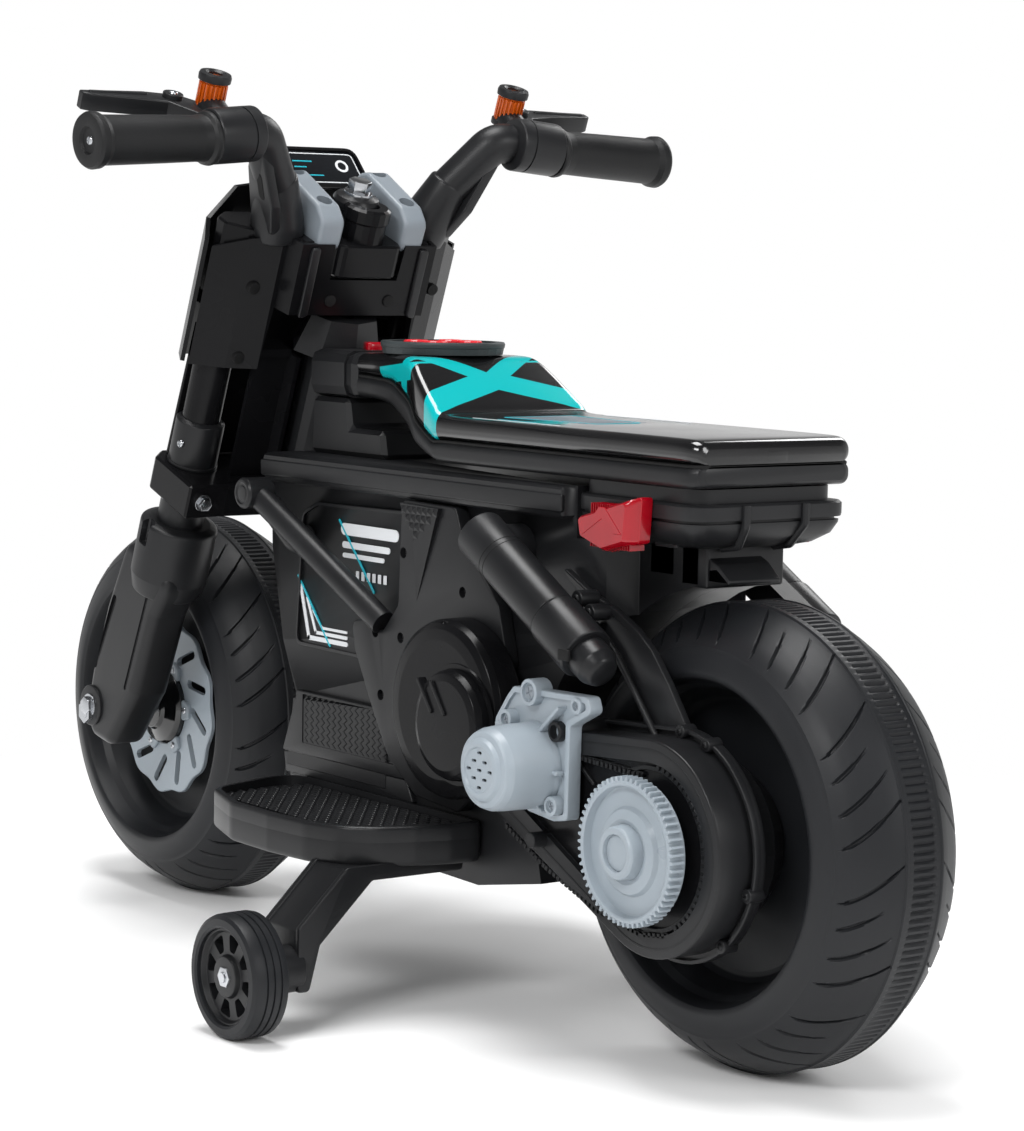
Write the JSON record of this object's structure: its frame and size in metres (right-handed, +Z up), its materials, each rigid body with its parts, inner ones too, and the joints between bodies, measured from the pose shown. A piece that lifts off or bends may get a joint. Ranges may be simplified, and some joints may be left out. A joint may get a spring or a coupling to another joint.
{
  "type": "kids ride-on motorcycle",
  "caption": "Small ride-on motorcycle for a child, with steering handlebars, a long seat, footboards, a moulded drive case and fixed training wheels.",
  "frame": {"origin": "on the ground, centre of the bounding box, midway between the axles", "axes": "+X forward, +Y the rider's left, +Z up"},
  "size_m": [0.9166, 0.4702, 0.5988],
  "materials": {
    "satin_black": "satin moulded",
    "gloss_black": "polished",
    "tyre_black": "blow moulded, matt",
    "light_grey": "satin moulded",
    "slate_grey": "satin moulded",
    "grip_black": "soft matt",
    "red_button": "satin",
    "red_lens": "polished",
    "amber_lens": "polished, ribbed",
    "pad_green": "satin",
    "clear_lens": "polished",
    "zinc_steel": "zinc plated"
  },
  "bodies": {
    "chassis": {"body_left": "satin_black", "body_right": "satin_black", "battery": "slate_grey", "steering_head": "satin_black", "neck_knob": "satin_black", "seat_top": "gloss_black", "seat_base": "satin_black", "button_pad": "pad_green", "tail_base": "satin_black", "tail_lamp_left": "red_lens", "tail_lamp_right": "red_lens", "side_cover_left": "satin_black", "side_cover_right": "satin_black", "round_cover_left": "gloss_black", "round_cover_right": "gloss_black", "shock_left": "satin_black", "shock_right": "satin_black", "footboard_left": "satin_black", "footboard_right": "satin_black", "training_arm_left": "satin_black", "training_arm_right": "satin_black", "drive_case": "satin_black", "swing_arm_right": "satin_black", "motor_cover": "light_grey", "gearbox": "satin_black", "sprocket": "light_grey", "rear_axle": "zinc_steel"},
    "steering": {"fork_leg_left": "satin_black", "fork_leg_right": "satin_black", "stanchion_left": "satin_black", "stanchion_right": "satin_black", "lower_clamp": "gloss_black", "steering_stem": "zinc_steel", "upper_clamp": "satin_black", "riser_left": "slate_grey", "riser_right": "slate_grey", "rear_shroud": "gloss_black", "front_cowl": "gloss_black", "headlight": "clear_lens", "display": "gloss_black", "handlebar_left": "satin_black", "handlebar_right": "satin_black", "lever_perch_left": "satin_black", "lever_perch_right": "satin_black", "grip_left": "grip_black", "grip_right": "grip_black", "turn_signal_left": "amber_lens", "turn_signal_right": "amber_lens", "front_axle": "zinc_steel"},
    "front_wheel": {"front_wheel": "tyre_black", "brake_disc_left": "light_grey", "brake_disc_right": "light_grey"},
    "rear_wheel": {"rear_wheel": "tyre_black"},
    "training_wheel_left": {"training_wheel_left": "tyre_black"},
    "training_wheel_right": {"training_wheel_right": "tyre_black"},
    "accelerator_pedal": {"accelerator_pedal": "satin_black"},
    "button_front_left": {"button_front_left": "red_button"},
    "button_front_right": {"button_front_right": "red_button"},
    "button_rear_left": {"button_rear_left": "red_button"},
    "button_rear_right": {"button_rear_right": "red_button"}
  },
  "joints": [
    {"name": "steering", "type": "hinge", "parent": "chassis", "child": "steering", "pos_m": [0.2466, 0, 0.14], "axis": [-0.3531, 0, 0.9356], "range_deg": [-20, 20]},
    {"name": "front_wheel_spin", "type": "hinge", "parent": "steering", "child": "front_wheel", "pos_m": [0.3183, 0, 0.14], "axis": [0, 1, 0], "continuous": true},
    {"name": "rear_wheel_spin", "type": "hinge", "parent": "chassis", "child": "rear_wheel", "pos_m": [-0.3183, 0, 0.14], "axis": [0, 1, 0], "continuous": true},
    {"name": "training_wheel_left_spin", "type": "hinge", "parent": "chassis", "child": "training_wheel_left", "pos_m": [-0.093, 0.2216, 0.0388], "axis": [0, 1, 0], "continuous": true},
    {"name": "training_wheel_right_spin", "type": "hinge", "parent": "chassis", "child": "training_wheel_right", "pos_m": [-0.093, -0.2216, 0.0388], "axis": [0, 1, 0], "continuous": true},
    {"name": "accelerator_pedal_press", "type": "hinge", "parent": "chassis", "child": "accelerator_pedal", "pos_m": [0.01, -0.098, 0.1195], "axis": [0, 1, 0], "range_deg": [0, 8], "stiffness_Nm_per_rad": 0.3, "springref_deg": -11.46},
    {"name": "button_front_left_press", "type": "slide", "parent": "chassis", "child": "button_front_left", "axis": [0, 0, -1], "range_m": [0, 0.0015], "stiffness_N_per_m": 400, "springref_m": -0.0005},
    {"name": "button_front_right_press", "type": "slide", "parent": "chassis", "child": "button_front_right", "axis": [0, 0, -1], "range_m": [0, 0.0015], "stiffness_N_per_m": 400, "springref_m": -0.0005},
    {"name": "button_rear_left_press", "type": "slide", "parent": "chassis", "child": "button_rear_left", "axis": [0, 0, -1], "range_m": [0, 0.0015], "stiffness_N_per_m": 400, "springref_m": -0.0005},
    {"name": "button_rear_right_press", "type": "slide", "parent": "chassis", "child": "button_rear_right", "axis": [0, 0, -1], "range_m": [0, 0.0015], "stiffness_N_per_m": 400, "springref_m": -0.0005}
  ]
}
